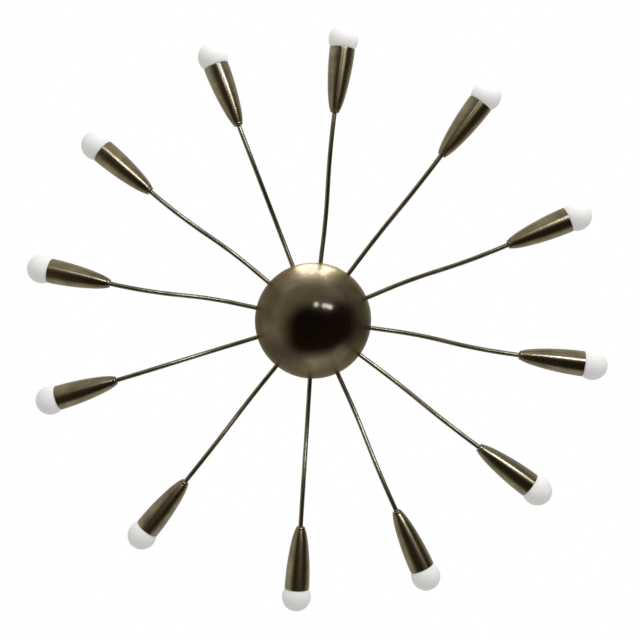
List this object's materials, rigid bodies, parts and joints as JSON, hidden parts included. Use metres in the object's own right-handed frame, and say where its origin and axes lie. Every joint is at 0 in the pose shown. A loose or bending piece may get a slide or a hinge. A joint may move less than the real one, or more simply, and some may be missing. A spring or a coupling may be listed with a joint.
{
  "type": "flush mount ceiling light",
  "caption": "Flush mount ceiling light with a spun dome, bent tube arms that swivel in its skirt, bullet-shaped metal cups and round opal screw-in bulbs.",
  "frame": {"origin": "centre of the ceiling face, midway between the two screw slots of the bracket", "axes": "+Z into the ceiling, X along the bracket strap, the light hangs below z = 0"},
  "size_m": [0.8723, 0.8799, 0.116],
  "materials": {
    "aged_brass": "dark, satin, waxed",
    "bare_brass": "turned",
    "zinc_steel": "zinc plated",
    "phenolic": "moulded",
    "lead_sheath": "extruded",
    "rubber": "moulded",
    "opal": "satin opal"
  },
  "bodies": {
    "canopy": {"canopy_dome": "aged_brass", "canopy_set_screws": "aged_brass", "ceiling_bracket": "zinc_steel", "cable_grommet": "rubber", "earth_terminal": "bare_brass", "distributor_block": "phenolic", "bus_rings": "bare_brass", "terminal_screws": "bare_brass", "block_pillars": "zinc_steel", "block_nuts": "zinc_steel", "arm_leads": "lead_sheath", "arm_lock_nuts": "bare_brass"},
    "arm_body_01": {"arm_01": "aged_brass", "cup_01": "aged_brass", "lampholder_01": "phenolic"},
    "bulb_body_01": {"bulb_01": "opal"},
    "arm_body_02": {"arm_02": "aged_brass", "cup_02": "aged_brass", "lampholder_02": "phenolic"},
    "bulb_body_02": {"bulb_02": "opal"},
    "arm_body_03": {"arm_03": "aged_brass", "cup_03": "aged_brass", "lampholder_03": "phenolic"},
    "bulb_body_03": {"bulb_03": "opal"},
    "arm_body_04": {"arm_04": "aged_brass", "cup_04": "aged_brass", "lampholder_04": "phenolic"},
    "bulb_body_04": {"bulb_04": "opal"},
    "arm_body_05": {"arm_05": "aged_brass", "cup_05": "aged_brass", "lampholder_05": "phenolic"},
    "bulb_body_05": {"bulb_05": "opal"},
    "arm_body_06": {"arm_06": "aged_brass", "cup_06": "aged_brass", "lampholder_06": "phenolic"},
    "bulb_body_06": {"bulb_06": "opal"},
    "arm_body_07": {"arm_07": "aged_brass", "cup_07": "aged_brass", "lampholder_07": "phenolic"},
    "bulb_body_07": {"bulb_07": "opal"},
    "arm_body_08": {"arm_08": "aged_brass", "cup_08": "aged_brass", "lampholder_08": "phenolic"},
    "bulb_body_08": {"bulb_08": "opal"},
    "arm_body_09": {"arm_09": "aged_brass", "cup_09": "aged_brass", "lampholder_09": "phenolic"},
    "bulb_body_09": {"bulb_09": "opal"},
    "arm_body_10": {"arm_10": "aged_brass", "cup_10": "aged_brass", "lampholder_10": "phenolic"},
    "bulb_body_10": {"bulb_10": "opal"},
    "arm_body_11": {"arm_11": "aged_brass", "cup_11": "aged_brass", "lampholder_11": "phenolic"},
    "bulb_body_11": {"bulb_11": "opal"},
    "arm_body_12": {"arm_12": "aged_brass", "cup_12": "aged_brass", "lampholder_12": "phenolic"},
    "bulb_body_12": {"bulb_12": "opal"}
  },
  "joints": [
    {"name": "arm_01_swivel", "type": "hinge", "parent": "canopy", "child": "arm_body_01", "pos_m": [0.08651, -0.02481, -0.014], "axis": [0.9613, -0.2756, 0], "range_deg": [-45, 45]},
    {"name": "bulb_01_unscrew", "type": "slide", "parent": "arm_body_01", "child": "bulb_body_01", "axis": [0.9613, -0.2756, 0], "range_m": [0, 0.02]},
    {"name": "arm_02_swivel", "type": "hinge", "parent": "canopy", "child": "arm_body_02", "pos_m": [0.08733, 0.02177, -0.014], "axis": [0.9703, 0.2419, 0], "range_deg": [-45, 45]},
    {"name": "bulb_02_unscrew", "type": "slide", "parent": "arm_body_02", "child": "bulb_body_02", "axis": [0.9703, 0.2419, 0], "range_m": [0, 0.02]},
    {"name": "arm_03_swivel", "type": "hinge", "parent": "canopy", "child": "arm_body_03", "pos_m": [0.06474, 0.06252, -0.014], "axis": [0.7193, 0.6947, 0], "range_deg": [-45, 45]},
    {"name": "bulb_03_unscrew", "type": "slide", "parent": "arm_body_03", "child": "bulb_body_03", "axis": [0.7193, 0.6947, 0], "range_m": [0, 0.02]},
    {"name": "arm_04_swivel", "type": "hinge", "parent": "canopy", "child": "arm_body_04", "pos_m": [0.02405, 0.08673, -0.014], "axis": [0.2672, 0.9636, 0], "range_deg": [-45, 45]},
    {"name": "bulb_04_unscrew", "type": "slide", "parent": "arm_body_04", "child": "bulb_body_04", "axis": [0.2672, 0.9636, 0], "range_m": [0, 0.02]},
    {"name": "arm_05_swivel", "type": "hinge", "parent": "canopy", "child": "arm_body_05", "pos_m": [-0.02101, 0.08751, -0.014], "axis": [-0.2334, 0.9724, 0], "range_deg": [-45, 45]},
    {"name": "bulb_05_unscrew", "type": "slide", "parent": "arm_body_05", "child": "bulb_body_05", "axis": [-0.2334, 0.9724, 0], "range_m": [0, 0.02]},
    {"name": "arm_06_swivel", "type": "hinge", "parent": "canopy", "child": "arm_body_06", "pos_m": [-0.0608, 0.06635, -0.014], "axis": [-0.6756, 0.7373, 0], "range_deg": [-45, 45]},
    {"name": "bulb_06_unscrew", "type": "slide", "parent": "arm_body_06", "child": "bulb_body_06", "axis": [-0.6756, 0.7373, 0], "range_m": [0, 0.02]},
    {"name": "arm_07_swivel", "type": "hinge", "parent": "canopy", "child": "arm_body_07", "pos_m": [-0.08484, 0.03004, -0.014], "axis": [-0.9426, 0.3338, 0], "range_deg": [-45, 45]},
    {"name": "bulb_07_unscrew", "type": "slide", "parent": "arm_body_07", "child": "bulb_body_07", "axis": [-0.9426, 0.3338, 0], "range_m": [0, 0.02]},
    {"name": "arm_08_swivel", "type": "hinge", "parent": "canopy", "child": "arm_body_08", "pos_m": [-0.08651, -0.02481, -0.014], "axis": [-0.9613, -0.2756, 0], "range_deg": [-45, 45]},
    {"name": "bulb_08_unscrew", "type": "slide", "parent": "arm_body_08", "child": "bulb_body_08", "axis": [-0.9613, -0.2756, 0], "range_m": [0, 0.02]},
    {"name": "arm_09_swivel", "type": "hinge", "parent": "canopy", "child": "arm_body_09", "pos_m": [-0.05785, -0.06894, -0.014], "axis": [-0.6428, -0.766, 0], "range_deg": [-45, 45]},
    {"name": "bulb_09_unscrew", "type": "slide", "parent": "arm_body_09", "child": "bulb_body_09", "axis": [-0.6428, -0.766, 0], "range_m": [0, 0.02]},
    {"name": "arm_10_swivel", "type": "hinge", "parent": "canopy", "child": "arm_body_10", "pos_m": [-0.01717, -0.08835, -0.014], "axis": [-0.1908, -0.9816, 0], "range_deg": [-45, 45]},
    {"name": "bulb_10_unscrew", "type": "slide", "parent": "arm_body_10", "child": "bulb_body_10", "axis": [-0.1908, -0.9816, 0], "range_m": [0, 0.02]},
    {"name": "arm_11_swivel", "type": "hinge", "parent": "canopy", "child": "arm_body_11", "pos_m": [0.02631, -0.08607, -0.014], "axis": [0.2924, -0.9563, 0], "range_deg": [-45, 45]},
    {"name": "bulb_11_unscrew", "type": "slide", "parent": "arm_body_11", "child": "bulb_body_11", "axis": [0.2924, -0.9563, 0], "range_m": [0, 0.02]},
    {"name": "arm_12_swivel", "type": "hinge", "parent": "canopy", "child": "arm_body_12", "pos_m": [0.06474, -0.06252, -0.014], "axis": [0.7193, -0.6947, 0], "range_deg": [-45, 45]},
    {"name": "bulb_12_unscrew", "type": "slide", "parent": "arm_body_12", "child": "bulb_body_12", "axis": [0.7193, -0.6947, 0], "range_m": [0, 0.02]}
  ]
}
